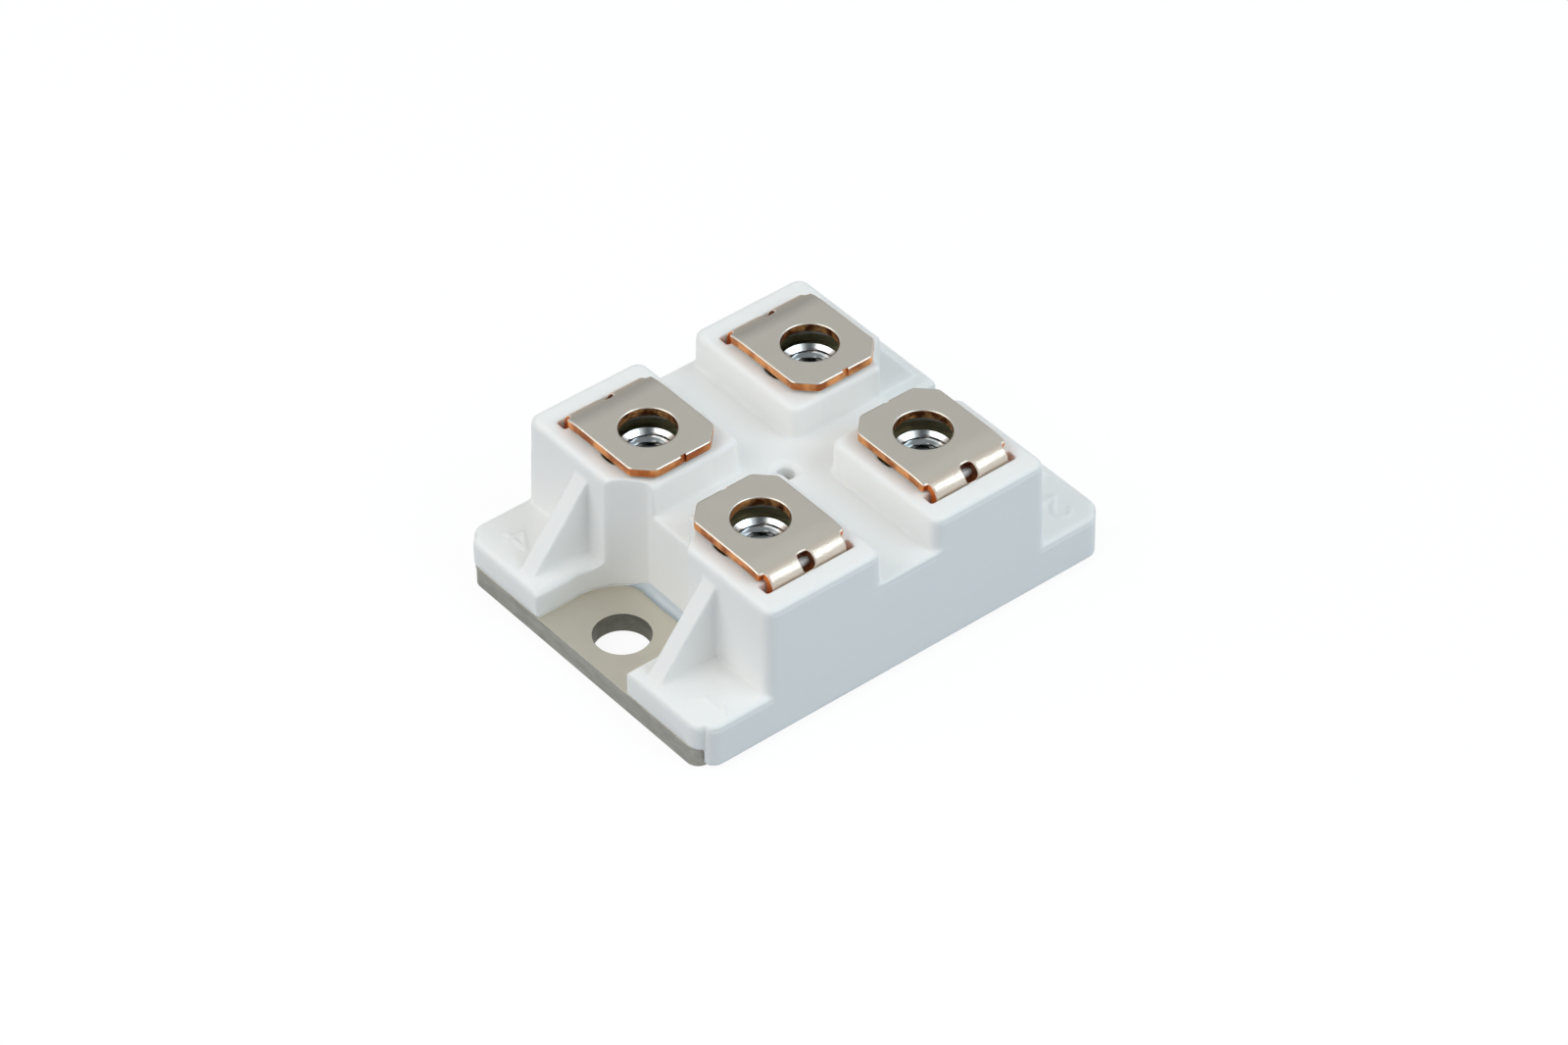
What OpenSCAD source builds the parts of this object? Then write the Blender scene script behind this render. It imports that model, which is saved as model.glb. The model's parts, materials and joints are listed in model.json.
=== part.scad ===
// Four-terminal power module: a white moulded housing with four screw towers on a metal
// base plate, bent strip terminals over captive nuts, and a silicon carbide switch inside.
// X runs along the length, Z is up, and the origin is the middle of the base plate's underside.

/* [Base plate] */
// Length of the base plate and of the housing's end ledges
base_len = 37.6; // [36:0.1:40]
// Width of the base plate
base_w = 26; // [25:0.1:27.5]
// Thickness of the base plate
base_t = 1.65; // [1.5:0.05:2.4]
// Radius of the base plate's corners in plan
base_corner_r = 1; // [0.6:0.1:2]
// Distance from a mounting hole's middle to the end of the base plate
hole_edge = 3.7; // [3.4:0.05:4.2]
// Diameter of the mounting holes
mount_hole_d = 4.3; // [3.6:0.1:5]

/* [Housing] */
// How far the side skirts stand out past the base plate's long edges
skirt_overhang = 1; // [0.8:0.05:1.5]
// Length of the end ledges, from the towers to the ends of the base plate
ledge_len = 5.85; // [5.6:0.05:6.2]
// Length of a tower's top along the module
tower_top_x = 10.4; // [10:0.05:10.8]
// Length of a tower's top across the module
tower_top_y = 11.8; // [11.4:0.05:12.2]
// Height of the tower tops above the base plate
tower_h = 10.07; // [9.8:0.01:11]
// Height of the valley floor between the towers above the base plate
valley_h = 7.25; // [6.8:0.05:8]
// Height of the end ledges above the base plate
ledge_h = 2.35; // [2:0.05:2.8]
// Draft of the moulded walls in degrees
draft = 1.15; // [0.5:0.05:1.5]
// Radius of the towers' upright corners
tower_corner_r = 0.9; // [0.6:0.1:1.2]
// Radius of the rounded top edges
edge_r = 0.45; // [0.2:0.05:0.55]
// Radius of the ledges' and side skirts' corners in plan
ledge_corner_r = 1.2; // [0.8:0.1:1.5]
// How far the side skirts hang down over the base plate's long edges
skirt_drop = 1.3; // [0.5:0.05:1.4]
// How far the side skirts stop short of the ends
skirt_inset = 0.5; // [0.4:0.05:1.2]
// How far the end ledges stand out past the base plate's long edges
ledge_overhang = 0.4; // [0.2:0.05:0.6]
// Step between the moulded blocks at the mould's split line
split_step = 0.02; // [0.01:0.01:0.05]

/* [Mounting recesses] */
// Radius of the scoop round each mounting hole
recess_r = 5.2; // [4.8:0.1:5.5]
// Width of each recess where it opens at the end
recess_mouth_w = 10.3; // [9.4:0.1:10.6]
// Distance from a mounting hole's middle to the recess's flat back wall
recess_back = 4.5; // [4.2:0.1:4.7]
// Chamfer along the recess's upper edges on the ledges
recess_chamfer = 0.4; // [0.2:0.05:0.6]
// Thickness of the stiffening ribs
rib_t = 1.5; // [1:0.1:2]
// Distance of each rib's middle from the centreline
rib_offset = 7.3; // [7:0.1:8.5]
// Height of the ribs above the ledges
rib_h = 6.5; // [5:0.1:7]
// Length of the ribs along the ledges
rib_len = 5.1; // [4:0.1:5.4]

/* [Cavity] */
// Height of the cavity's roof above the base plate
cavity_h = 3.85; // [3.6:0.05:4.1]
// Thickness of the wall between a recess and the cavity
end_wall_t = 1.2; // [1:0.1:1.6]
// Thickness of the towers' end walls and of the walls round the scoops
tower_wall_t = 1.35; // [1.1:0.05:1.6]
// Width of the housing's seat along the base plate's long edges
seat_w = 0.7; // [0.5:0.05:0.9]
// Diameter of the filling hole in the middle of the roof
port_d = 1.4; // [1:0.1:2]
// Diameter of the filling hole's countersink
port_rim_d = 2.4; // [2.2:0.1:3]
// Depth of the filling hole's countersink
port_rim_depth = 0.4; // [0.2:0.05:0.6]

/* [Terminals] */
// Distance from a terminal screw to the foot of its tower's end face
term_end = 5.45; // [5.2:0.05:5.6]
// Distance from a terminal screw to the base plate's long edge
term_edge = 6.65; // [6.5:0.05:6.8]
// Width of the terminal strip
strip_w = 7.75; // [7.4:0.05:7.9]
// Thickness of the terminal strip
strip_t = 0.8; // [0.6:0.05:1]
// Gap between the terminal strip and the tower top
strip_gap = 0.26; // [0.1:0.02:0.5]
// Diameter of the terminal screw holes
term_hole_d = 4.3; // [3.8:0.1:4.6]
// Distance from a terminal hole's middle to the strip's free end
tip_len = 4.1; // [3.8:0.05:4.3]
// Chamfer of the free end's corners
tip_chamfer = 1.4; // [0.8:0.1:1.8]
// Width of the shear notch in the free end
tip_notch_w = 0.5; // [0.4:0.1:1]
// Depth of the shear notch in the free end
tip_notch_depth = 0.15; // [0.1:0.05:0.4]
// Distance from a terminal hole's middle to the outer face of the leg
leg_offset = 5.5; // [5.4:0.05:5.7]
// Inside radius of the strip's bends
bend_r = 0.35; // [0.2:0.05:0.5]
// Depth of the relief notches at the sides of the bend
relief_depth = 0.5; // [0.4:0.05:0.9]
// Length that the relief notches reach past the bend onto the flat
relief_run = 0.05; // [0:0.05:0.5]
// Length that the relief notches reach past the bend down the leg
relief_drop = 1; // [0.2:0.05:1.5]
// Width of the window in the middle of the bend
window_w = 1.1; // [0.9:0.1:1.8]
// Length that the window reaches past the bend on either side
window_run = 0.1; // [0:0.05:0.4]
// Width of the soldered foot
foot_w = 2.6; // [2:0.1:2.7]
// Length of the soldered foot
foot_len = 2.2; // [1.6:0.1:2.4]

/* [Captive nuts] */
// Width of the nuts across flats
nut_af = 6.8; // [6.6:0.05:7.1]
// Height of the nuts
nut_h = 3.2; // [2.4:0.1:3.3]
// Diameter of the nuts' thread at its crests
thread_d = 3.3; // [3:0.05:3.5]
// Width of the countersinks at the nuts' faces
nut_sink_d = 4.6; // [4:0.1:4.8]
// Depth of the nuts' top faces below the tower tops
nut_depth = 0.92; // [0.6:0.02:1]
// Diameter of the screw clearance hole below a nut
screw_clear_d = 4.6; // [4.2:0.1:5]
// Depth of the screw clearance hole below a nut
screw_clear_depth = 1.2; // [0.8:0.1:1.3]

/* [Circuit] */
// Thickness of the soldered joints
solder_t = 0.1; // [0.06:0.01:0.15]
// Thickness of the substrate's copper layers
copper_t = 0.3; // [0.2:0.05:0.35]
// Thickness of the ceramic substrate
ceramic_t = 0.64; // [0.4:0.02:0.7]
// Distance of the copper from the ceramic's edges
copper_inset = 0.4; // [0.3:0.05:0.5]
// Distance between copper tracks
track_gap = 0.5; // [0.4:0.05:0.6]
// Width of the narrow tracks
bus_w = 0.9; // [0.7:0.05:1]
// Distance from the row of chips to the ends of their track
die_edge = 0.4; // [0.3:0.05:0.6]
// Gap between neighbouring chips
die_gap = 0.8; // [0.5:0.05:1]
// Size of a chip across the module
die_y = 4.4; // [3.8:0.1:4.6]
// Thickness of the chips
die_t = 0.2; // [0.12:0.02:0.3]
// Distance of the chips' row from the centreline, towards terminals 3 and 4
die_row_y = 0.5; // [0.3:0.05:0.7]
// Gap between the ceramic's ends and the cavity's end walls
ceramic_gap_x = 0.2; // [0.1:0.02:0.2]
// Gap between the ceramic's long edges and the cavity's side walls
ceramic_gap_y = 0.5; // [0.3:0.05:0.7]
// Diameter of the bond wires
wire_d = 0.3; // [0.2:0.02:0.36]
// Distance from a chip's side edges to the nearest wires
wire_margin = 0.6; // [0.5:0.05:0.7]
// Height of the power wires' loops
wire_loop = 1; // [0.8:0.05:1.1]
// Height of the thin gel layer above the wires' loops
gel_cover = 0.3; // [0.15:0.05:0.4]

/* [Fits] */
// Side gap between pieces that slide together
fit_gap = 0.1; // [0.05:0.01:0.15]
// Thickness of the adhesive under the housing
glue_t = 0.1; // [0.05:0.01:0.15]
// Height and depth of the adhesive bead at the recesses' back walls
bead = 0.45; // [0.2:0.05:0.6]

/* [Hidden] */
$fn = 48;
hull_fn = 32;
slice = 0.01;
past = 1;
slope = tan(draft);

// Heights
seat_z = base_t + glue_t;
skirt_z = base_t - skirt_drop;
ledge_z = base_t + ledge_h;
valley_z = base_t + valley_h;
tower_z = base_t + tower_h;
roof_z = base_t + cavity_h;
strip_z = tower_z + strip_gap;
nut_z = tower_z - nut_depth - nut_h;
back_copper_z = base_t + solder_t;
ceramic_z = back_copper_z + copper_t;
track_z = ceramic_z + ceramic_t;
pad_z = track_z + copper_t;
die_z = pad_z + solder_t;
die_top_z = die_z + die_t;
foot_z = pad_z + solder_t;

// Plan of the housing and its cavity
body_w = base_w + 2 * skirt_overhang;
tower_len = base_len - 2 * ledge_len;
mount_x = base_len / 2 - hole_edge;
recess_wall_x = mount_x - recess_back;
cavity_x = recess_wall_x - end_wall_t;
cavity_y = base_w / 2 - seat_w;
wing_x = tower_len / 2 - tower_wall_t;
wing_y = recess_r + tower_wall_t;
ledge_w = base_w + 2 * ledge_overhang;
skirt_len = base_len - 2 * skirt_inset;

// Terminals and nuts
term_x = tower_len / 2 - term_end;
term_y = base_w / 2 - term_edge;
bend_outer_r = bend_r + strip_t;
bend_y = leg_offset - bend_outer_r;
bend_z = strip_z + strip_t - bend_outer_r;
shoulder_z = roof_z - fit_gap;
nut_corner_d = nut_af / cos(30);
pocket_corner_d = (nut_af + 2 * fit_gap) / cos(30);

// Plan of the circuit
ceramic_x = cavity_x - ceramic_gap_x;
ceramic_y = cavity_y - ceramic_gap_y;
track_x = ceramic_x - copper_inset;
track_y = ceramic_y - copper_inset;
drain_y0 = die_row_y - die_y / 2 - 2 * track_gap;
drain_y1 = die_row_y + die_y / 2 + 2 * track_gap;
gate_y1 = drain_y0 - track_gap;
gate_y0 = gate_y1 - bus_w;
source_y1 = gate_y0 - track_gap;
kelvin_y0 = drain_y1 + track_gap;
kelvin_y1 = kelvin_y0 + bus_w;
foot_pad_x0 = term_x - foot_w / 2 - track_gap;
foot_pad_y0 = term_y + bend_y - foot_len - track_gap;
gel_z = die_top_z + wire_loop + wire_d + gel_cover;
die_x = (2 * (track_x - die_edge) - 3 * die_gap) / 4;
DIES = [for (i = [0:3]) (i - 1.5) * (die_x + die_gap)];
gate_wire_x = die_x / 2 - wire_margin;
kelvin_wire_x = -gate_wire_x;
SOURCE_WIRES = [for (i = [0:2]) kelvin_wire_x + i * 2 * gate_wire_x / 3];

// Shared shapes

// A box between two corners
module box(low, high) translate(low) cube(high - low);

// A rectangle with round corners, centred on the origin
module rounded_plan(length, width, r) {
    square([length, width - 2 * r], center = true);
    square([length - 2 * r, width], center = true);
    for (x = [-1, 1], y = [-1, 1])
        translate([x * (length / 2 - r), y * (width / 2 - r)]) circle(r);
}

// One thin slice of a drafted block, with round corners
module block_slice(x0, x1, y0, y1, r, z)
    for (x = [x0 + r, x1 - r], y = [y0 + r, y1 - r])
        translate([x, y, z - slice]) cylinder(r = r, h = slice, $fn = hull_fn);

// The same child at both ends of the module
module both_ends() {
    children();
    mirror([1, 0, 0]) children();
}

// The same child at all four corners of the module
module four_corners()
    both_ends() {
        children();
        mirror([0, 1, 0]) children();
    }

// A terminal's local frame has its origin at the screw axis and +Y towards the bend
module at_terminal(number) {
    end = number == 1 || number == 4 ? -1 : 1;
    side = number <= 2 ? -1 : 1;
    translate([end * term_x, side * term_y, 0]) rotate([0, 0, side > 0 ? 0 : 180]) children();
}

// Base plate

module base_plate()
    color("#9f988a")
        linear_extrude(base_t)
            difference() {
                rounded_plan(base_len, base_w, base_corner_r);
                for (x = [-mount_x, mount_x]) translate([x, 0]) circle(d = mount_hole_d);
            }

// Housing

// Half the width over the long faces, which lean inwards with the draft
function side_y(z) = body_w / 2 - (z - skirt_z) * slope;
// Half the length over the towers, whose end faces lean the same way
function end_x(z) = tower_len / 2 - (z - ledge_z) * slope;
// Half the width of the groove that crosses the module, which narrows downwards
function cross_groove_x(z) = end_x(tower_z) - tower_top_x - (tower_z - z) * slope;
// Half the width of the groove that runs along the module
function long_groove_y(z) = side_y(tower_z) - tower_top_y - (tower_z - z) * slope;

// The steps of a rounded top edge, each with its height and how far it stands in
EDGE_STEPS = [for (a = [0:30:90]) [1 - sin(a), 1 - cos(a)]];

module tower_slice(z, inset)
    block_slice(cross_groove_x(z) + inset, end_x(z) - inset,
                long_groove_y(z) + inset, side_y(z) - inset,
                tower_corner_r - inset, z);

module tower()
    hull() {
        tower_slice(valley_z - past, 0);
        for (s = EDGE_STEPS) tower_slice(tower_z - edge_r * s[0], edge_r * s[1]);
    }

// The block that carries the towers, from inside the ledges up to the valley floor
module valley_block()
    hull()
        for (z = [ledge_z - past, valley_z])
            block_slice(-end_x(z), end_x(z), -side_y(z) - split_step, side_y(z) + split_step,
                        tower_corner_r, z);

// The long lower block whose sides are the skirts
module skirt_slice(z, inset)
    block_slice(-skirt_len / 2 + inset, skirt_len / 2 - inset,
                -side_y(z) + inset, side_y(z) - inset, ledge_corner_r - inset, z);

module skirt_block()
    hull() {
        skirt_slice(skirt_z + slice, 0);
        for (s = EDGE_STEPS) skirt_slice(ledge_z - edge_r * s[0], edge_r * s[1]);
    }

// The ledges' own slab, which reaches the ends of the base plate
module ledge_slice(z, inset)
    block_slice(-base_len / 2 + inset, base_len / 2 - inset,
                -ledge_w / 2 + inset, ledge_w / 2 - inset, ledge_corner_r - inset, z);

module ledge_block()
    hull() {
        ledge_slice(seat_z + slice, 0);
        for (s = EDGE_STEPS) ledge_slice(ledge_z - split_step - edge_r * s[0], edge_r * s[1]);
    }

// A sloping rib from the end of a ledge up the tower's end face
module rib() {
    foot_x = end_x(ledge_z) + rib_len;
    root_x = end_x(ledge_z) - past;
    top_z = ledge_z + rib_h;
    translate([0, rib_offset, 0]) rotate([90, 0, 0])
        linear_extrude(rib_t, center = true)
            polygon([[root_x, ledge_z - past], [foot_x - past, ledge_z - past],
                     [foot_x, ledge_z], [end_x(top_z), top_z], [root_x, top_z]]);
}

// The space that is left free above a mounting hole, with a flat back wall
module recess() {
    top_z = tower_z + past;
    mouth = recess_mouth_w / 2;
    intersection() {
        union() {
            translate([mount_x, 0, -past]) cylinder(r = recess_r, h = top_z + past);
            box([mount_x, -mouth, -past], [base_len / 2 + past, mouth, top_z]);
        }
        box([recess_wall_x, -body_w, -past], [base_len, body_w, top_z]);
    }
    for (y = [-mouth, mouth])
        translate([end_x(ledge_z), y, ledge_z - recess_chamfer]) rotate([90, 0, 90])
            linear_extrude(base_len)
                polygon(2 * recess_chamfer * [[0, 0], [1, 1], [-1, 1]]);
}

// The room inside the housing, up to a given height
module cavity(low_z, high_z) {
    box([-cavity_x, -cavity_y, low_z], [cavity_x, cavity_y, high_z]);
    for (y = [-1, 1])
        translate([0, y * (wing_y + cavity_y) / 2, (low_z + high_z) / 2])
            cube([2 * wing_x, cavity_y - wing_y, high_z - low_z], center = true);
}

// The hexagonal pocket, screw clearance and leg slot of one terminal
module terminal_pocket() {
    translate([0, 0, nut_z]) cylinder(d = pocket_corner_d, h = tower_h, $fn = 6);
    translate([0, 0, nut_z - screw_clear_depth]) cylinder(d = screw_clear_d, h = tower_h);
    box([-strip_w / 2 - fit_gap, leg_offset - strip_t - fit_gap, roof_z - past],
        [strip_w / 2 + fit_gap, leg_offset + fit_gap, tower_z + past]);
}

module filling_hole() {
    translate([0, 0, roof_z - past]) cylinder(d = port_d, h = tower_h);
    translate([0, 0, valley_z - port_rim_depth])
        cylinder(d1 = port_d, d2 = port_rim_d, h = port_rim_depth);
    translate([0, 0, valley_z]) cylinder(d = port_rim_d, h = past);
}

module housing()
    color("#eceef0")
        difference() {
            union() {
                skirt_block();
                ledge_block();
                valley_block();
                four_corners() tower();
                four_corners() rib();
            }
            box([-base_len, -base_w / 2 - fit_gap, -past], [base_len, base_w / 2 + fit_gap, seat_z]);
            cavity(base_t - past, roof_z);
            both_ends() recess();
            for (number = [1:4]) at_terminal(number) terminal_pocket();
            filling_hole();
        }

// The film under the housing's walls and the bead that it leaves in the recesses
module sealing_adhesive()
    color("#8f9cab") {
        difference() {
            translate([0, 0, base_t]) linear_extrude(glue_t)
                rounded_plan(base_len - 2 * fit_gap, base_w - 2 * fit_gap, base_corner_r);
            cavity(base_t - past, roof_z);
            both_ends() recess();
        }
        both_ends()
            translate([recess_wall_x, 0, base_t]) rotate([90, 0, 0])
                linear_extrude(recess_back, center = true)
                    polygon([[0, 0], [bead, 0], [bead / 3, bead / 2], [0, bead]]);
    }

// Terminals and nuts

// The flat end with its cut corners and shear notch
module terminal_flat() {
    half = strip_w / 2;
    notch = tip_notch_w / 2;
    translate([0, 0, strip_z])
        linear_extrude(strip_t)
            difference() {
                polygon([[half, bend_y], [half, tip_chamfer - tip_len],
                         [half - tip_chamfer, -tip_len], [notch, -tip_len],
                         [notch, tip_notch_depth - tip_len], [-notch, tip_notch_depth - tip_len],
                         [-notch, -tip_len], [tip_chamfer - half, -tip_len],
                         [-half, tip_chamfer - tip_len], [-half, bend_y]]);
                circle(d = term_hole_d);
            }
}

// A quarter bend of the strip about a line along X, from a given angle
module strip_bend(width, from_angle)
    rotate([90, 0, 90]) rotate([0, 0, from_angle])
        rotate_extrude(angle = 90)
            translate([bend_r, -width / 2]) square([strip_t, width]);

// The notches at the sides of the bend and the window in its middle
module bend_cuts() {
    low_z = bend_z - relief_drop;
    near_y = bend_y - relief_run;
    for (x = [-1, 1])
        translate([x * strip_w / 2, near_y + strip_w / 2, low_z + strip_w / 2])
            cube([2 * relief_depth, strip_w, strip_w], center = true);
    intersection() {
        translate([0, bend_y - window_run, bend_z - past]) linear_extrude(strip_w) window_slot();
        translate([0, leg_offset + past, bend_z - window_run]) rotate([90, 0, 0])
            linear_extrude(strip_w) window_slot();
    }
}

// One face of the window, with a round end
module window_slot() {
    translate([0, window_w / 2]) circle(d = window_w);
    translate([-window_w / 2, window_w / 2]) square([window_w, strip_w]);
}

module terminal() {
    leg_y = leg_offset - strip_t;
    foot_bend_z = foot_z + bend_outer_r;
    difference() {
        union() {
            terminal_flat();
            translate([0, bend_y, bend_z]) strip_bend(strip_w, 0);
            box([-strip_w / 2, leg_y, shoulder_z], [strip_w / 2, leg_offset, bend_z]);
        }
        bend_cuts();
    }
    box([-foot_w / 2, leg_y, foot_bend_z], [foot_w / 2, leg_offset, shoulder_z]);
    translate([0, bend_y, foot_bend_z]) strip_bend(foot_w, -90);
    box([-foot_w / 2, bend_y - foot_len, foot_z], [foot_w / 2, bend_y, foot_z + strip_t]);
}

module terminal_at(number) color("#aaa59a") at_terminal(number) terminal();

// A hexagon nut with chamfered corners and a countersunk thread
module nut() {
    sink = (nut_sink_d - thread_d) / 2;
    crown = (nut_corner_d - nut_af) / 2;
    difference() {
        intersection() {
            cylinder(d = nut_corner_d, h = nut_h, $fn = 6);
            rotate_extrude()
                polygon([[0, 0], [nut_af / 2, 0], [nut_af / 2 + 2 * crown, crown],
                         [nut_af / 2 + 2 * crown, nut_h - crown], [nut_af / 2, nut_h], [0, nut_h]]);
        }
        translate([0, 0, -past]) cylinder(d = thread_d, h = nut_h + 2 * past);
        translate([0, 0, nut_h - sink]) cylinder(d1 = thread_d, d2 = nut_sink_d, h = sink);
        cylinder(d1 = nut_sink_d, d2 = thread_d, h = sink);
    }
}

module terminal_nuts()
    color("#d5d8dc")
        for (number = [1:4]) at_terminal(number) translate([0, 0, nut_z]) nut();

// Circuit

module base_solder()
    color("#b9bcc0") box([-track_x, -track_y, base_t], [track_x, track_y, back_copper_z]);

module substrate_back_copper()
    color("#c77f4f") box([-track_x, -track_y, back_copper_z], [track_x, track_y, ceramic_z]);

module substrate_ceramic()
    color("#f1efe8") box([-ceramic_x, -ceramic_y, ceramic_z], [ceramic_x, ceramic_y, track_z]);

// A copper field between two corners in plan
module copper(x0, y0, x1, y1) box([x0, y0, track_z], [x1, y1, pad_z]);

// The chips stand on this track, and it runs round the end of the Kelvin bus to terminal 3
module drain_track()
    color("#c77f4f") {
        copper(-track_x, drain_y0, track_x, drain_y1);
        copper(foot_pad_x0, drain_y0, track_x, track_y);
        copper(-foot_pad_x0, kelvin_y1 + track_gap, track_x, track_y);
    }

module source_track()
    color("#c77f4f") {
        copper(-track_x, -track_y, foot_pad_x0 - track_gap, source_y1);
        copper(-track_x, track_gap - foot_pad_y0, track_x - bus_w - track_gap, source_y1);
    }

module gate_track()
    color("#c77f4f") {
        copper(-track_x, gate_y0, track_x, gate_y1);
        copper(track_x - bus_w, -track_y, track_x, gate_y1);
        copper(foot_pad_x0, -track_y, track_x, -foot_pad_y0);
    }

module kelvin_source_track()
    color("#c77f4f") {
        copper(-track_x, kelvin_y0, foot_pad_x0 - track_gap, kelvin_y1);
        copper(-track_x, kelvin_y0, -foot_pad_x0 - track_gap, track_y);
    }

// One layer under or in a chip
module die_layer(number, low_z, high_z)
    box([DIES[number - 1] - die_x / 2, die_row_y - die_y / 2, low_z],
        [DIES[number - 1] + die_x / 2, die_row_y + die_y / 2, high_z]);

module die_solder(number) color("#b9bcc0") die_layer(number, pad_z, die_z);

module chip(number) color("#5d6670") die_layer(number, die_z, die_top_z);

module terminal_solder(number)
    color("#b9bcc0") at_terminal(number)
        box([-foot_w / 2, bend_y - foot_len, pad_z], [foot_w / 2, bend_y, foot_z]);

// A round bond wire that arches from one pad to another, with a pressed foot at each end
module bond_wire(from, to, loop) {
    press = 2 * wire_d / 3;
    step = to - from;
    run = norm([step[0], step[1]]);
    chord = norm(step);
    arc_r = (chord * chord / 4 + loop * loop) / (2 * loop);
    half_angle = asin(chord / (2 * arc_r));
    heading = atan2(step[1], step[0]);
    for (end = [from, to])
        translate(end + [0, 0, press / 2]) rotate([0, 0, heading])
            cube([3 * wire_d, wire_d * 1.2, press], center = true);
    translate(from + [0, 0, wire_d / 2]) rotate([0, -atan2(step[2], run), heading])
        translate([chord / 2, 0, loop - arc_r]) rotate([90, 0, 0])
            rotate([0, 0, 90 - half_angle]) rotate_extrude(angle = 2 * half_angle)
                translate([arc_r, 0]) circle(d = wire_d);
}

module source_wires()
    color("#d9dbde")
        for (x = DIES, offset_x = SOURCE_WIRES)
            bond_wire([x + offset_x, die_row_y - die_y / 6, die_top_z],
                      [x + offset_x, source_y1 - bus_w, pad_z], wire_loop);

module gate_wires()
    color("#d9dbde")
        for (x = DIES)
            bond_wire([x + gate_wire_x, die_row_y - die_y / 2 + bus_w, die_top_z],
                      [x + gate_wire_x, (gate_y0 + gate_y1) / 2, pad_z], wire_loop / 2);

module kelvin_source_wires()
    color("#d9dbde")
        for (x = DIES)
            bond_wire([x + kelvin_wire_x, die_row_y + die_y / 3, die_top_z],
                      [min(x + kelvin_wire_x, foot_pad_x0 - track_gap - bus_w),
                       (kelvin_y0 + kelvin_y1) / 2, pad_z], wire_loop * 2 / 3);

// The soft fill over the circuit, with room for everything that it covers
module silicone_gel()
    color("#dfe7ea")
        difference() {
            cavity(base_t, gel_z);
            box([-track_x, -track_y, base_t], [track_x, track_y, ceramic_z]);
            substrate_ceramic();
            drain_track();
            source_track();
            gate_track();
            kelvin_source_track();
            for (number = [1:4]) {
                die_layer(number, pad_z, die_top_z);
                terminal_solder(number);
                terminal_at(number);
            }
            source_wires();
            gate_wires();
            kelvin_source_wires();
        }

base_plate();
housing();
sealing_adhesive();
terminal_at(1);  // terminal_1
terminal_at(2);  // terminal_2
terminal_at(3);  // terminal_3
terminal_at(4);  // terminal_4
terminal_nuts();
base_solder();
substrate_back_copper();
substrate_ceramic();
drain_track();
source_track();
gate_track();
kelvin_source_track();
die_solder(1);  // die_solder_1
die_solder(2);  // die_solder_2
die_solder(3);  // die_solder_3
die_solder(4);  // die_solder_4
chip(1);  // chip_1
chip(2);  // chip_2
chip(3);  // chip_3
chip(4);  // chip_4
terminal_solder(1);  // terminal_solder_1
terminal_solder(2);  // terminal_solder_2
terminal_solder(3);  // terminal_solder_3
terminal_solder(4);  // terminal_solder_4
source_wires();
gate_wires();
kelvin_source_wires();
silicone_gel();
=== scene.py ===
import json
import math

import bmesh
import bpy
import numpy as np
from mathutils import Matrix, Vector


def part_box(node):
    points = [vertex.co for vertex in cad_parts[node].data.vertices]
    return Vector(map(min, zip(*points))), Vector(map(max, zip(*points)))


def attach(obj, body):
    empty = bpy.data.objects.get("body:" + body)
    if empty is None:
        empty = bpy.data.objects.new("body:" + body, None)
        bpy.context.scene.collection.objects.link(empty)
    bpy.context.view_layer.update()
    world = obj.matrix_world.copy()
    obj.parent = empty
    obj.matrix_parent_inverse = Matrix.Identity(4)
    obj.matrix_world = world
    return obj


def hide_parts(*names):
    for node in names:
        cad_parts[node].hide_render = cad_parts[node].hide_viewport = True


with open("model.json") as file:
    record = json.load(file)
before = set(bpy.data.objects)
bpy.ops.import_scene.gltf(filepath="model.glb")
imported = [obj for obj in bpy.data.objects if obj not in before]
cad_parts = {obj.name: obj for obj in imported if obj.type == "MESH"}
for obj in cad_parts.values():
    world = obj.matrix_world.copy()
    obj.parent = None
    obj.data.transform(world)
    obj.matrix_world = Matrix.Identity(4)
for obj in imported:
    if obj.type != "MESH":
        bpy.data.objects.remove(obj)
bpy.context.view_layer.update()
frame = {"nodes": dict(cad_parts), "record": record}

MM = 0.001
BODY = "root"
record = frame["record"]
nodes = frame["nodes"]
mounts = {mount["name"]: mount for mount in record["mounts"]}

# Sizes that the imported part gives, in millimetres

screws = mounts["terminal_threads"]["dims"]
screw_pitch_x = screws["spacing_x_mm"]
screw_pitch_y = screws["spacing_y_mm"]
thread_crest_r = screws["hole_r_mm"]
hole_x = mounts["mounting_holes"]["dims"]["spacing_x_mm"] / 2
hole_r = mounts["mounting_holes"]["dims"]["hole_r_mm"]
nut_low, nut_high = (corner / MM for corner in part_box("terminal_nuts"))
strip_low, strip_high = (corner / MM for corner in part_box("terminal_3"))
plate_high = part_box("base_plate")[1] / MM
shell_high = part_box("housing")[1] / MM

# Sizes that more than one section follows

NUT_ACROSS_FLATS = 6.8
BEAD_H = 0.55

# The camera, as the photograph was taken

IMAGE_W = 1600
SENSOR_W = 36.0
FOCAL_PX = 5999.6
CAMERA_AZIMUTH = math.radians(-39.446)
CAMERA_ELEVATION = math.radians(40.914)
CAMERA_DISTANCE = 424.05 * MM
CAMERA_TARGET = Vector((0.0, 0.0, 6.0 * MM))
PRINCIPAL_X_PX = 1.59
PRINCIPAL_Y_PX = 22.99
CAMERA_SIDE = Vector((
    math.sin(CAMERA_AZIMUTH) * math.cos(CAMERA_ELEVATION),
    -math.cos(CAMERA_AZIMUTH) * math.cos(CAMERA_ELEVATION),
    math.sin(CAMERA_ELEVATION),
))


# Shader maths

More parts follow.
